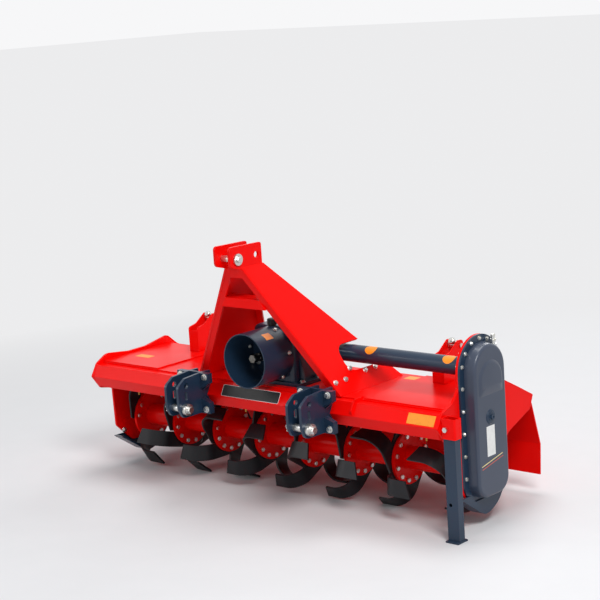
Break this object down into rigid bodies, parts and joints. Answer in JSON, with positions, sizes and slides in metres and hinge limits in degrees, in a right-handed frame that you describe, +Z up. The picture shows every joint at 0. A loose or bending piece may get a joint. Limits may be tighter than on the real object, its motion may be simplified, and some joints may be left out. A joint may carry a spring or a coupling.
{
  "type": "rotavator",
  "caption": "Tractor-mounted rotavator: bladed rotor under a hood, mast with hitch brackets, gearbox and side gear case, parking stand and hinged rear board.",
  "frame": {"origin": "on the ground, below the middle of the overall box", "axes": "+X across the machine towards the side gear case, -Y towards the tractor, +Z up"},
  "size_m": [1.95, 0.973, 1.0498],
  "materials": {
    "black_paint": "satin",
    "grey_paint": "satin",
    "red_paint": "gloss",
    "steel": "satin",
    "zinc": "satin"
  },
  "bodies": {
    "frame": {"front_beam": "red_paint", "deck": "red_paint", "deck_panels": "red_paint", "left_end_plate": "red_paint", "right_end_plate": "red_paint", "mast_leg_left": "red_paint", "mast_leg_right": "red_paint", "mast_cross_members": "red_paint", "top_link_pin": "zinc", "hitch_bracket_left": "grey_paint", "hitch_bracket_right": "grey_paint", "hitch_mounts": "grey_paint", "hitch_pins": "zinc", "gearbox": "grey_paint", "gearbox_breather": "zinc", "pto_shield": "grey_paint", "side_drive_tube": "grey_paint", "side_case_flange": "grey_paint", "side_case_cover": "grey_paint", "side_case_fittings": "zinc", "skid_left": "grey_paint", "skid_right": "grey_paint", "left_bearing_housing": "red_paint", "stand_socket": "red_paint", "stand_lock_bolt": "zinc", "board_hinge_pin": "zinc", "rod_towers": "red_paint"},
    "rotor": {"rotor_shaft": "red_paint", "blades_1": "black_paint", "blades_2": "black_paint", "blades_3": "black_paint", "blades_4": "black_paint", "blades_5": "black_paint", "blades_6": "black_paint", "blades_7": "black_paint", "blades_8": "black_paint"},
    "input": {"input_shaft": "steel"},
    "stand": {"stand_leg": "grey_paint"},
    "board": {"rear_board": "red_paint", "board_lugs": "red_paint"},
    "swivels": {"rod_swivels": "zinc"},
    "rods": {"spring_rods": "zinc", "rod_springs": "black_paint"}
  },
  "joints": [
    {"name": "rotor_spin", "type": "hinge", "parent": "frame", "child": "rotor", "pos_m": [0.049, -0.0685, 0.206], "axis": [1, 0, 0], "continuous": true},
    {"name": "input_spin", "type": "hinge", "parent": "frame", "child": "input", "pos_m": [0.049, -0.2685, 0.595], "axis": [0, -1, 0], "continuous": true},
    {"name": "stand_slide", "type": "slide", "parent": "frame", "child": "stand", "axis": [0, 0, 1], "range_m": [0, 0.28]},
    {"name": "board_hinge", "type": "hinge", "parent": "frame", "child": "board", "pos_m": [0.049, 0.2835, 0.392], "axis": [1, 0, 0], "range_deg": [0, 55]},
    {"name": "swivel_turn", "type": "hinge", "parent": "frame", "child": "swivels", "pos_m": [0.049, 0.1495, 0.606], "axis": [1, 0, 0], "range_deg": [-0.5, 26.88]},
    {"name": "rod_turn", "type": "hinge", "parent": "board", "child": "rods", "pos_m": [0.049, 0.4715, 0.25], "axis": [1, 0, 0], "range_deg": [-29.12, 0.5]}
  ],
  "couplings": [
    {"joint": "input_spin", "follows": "rotor_spin", "ratio": 2.5},
    {"joint": "swivel_turn", "follows": "board_hinge", "ratio": 0.4796},
    {"joint": "rod_turn", "follows": "board_hinge", "ratio": -0.5204}
  ]
}
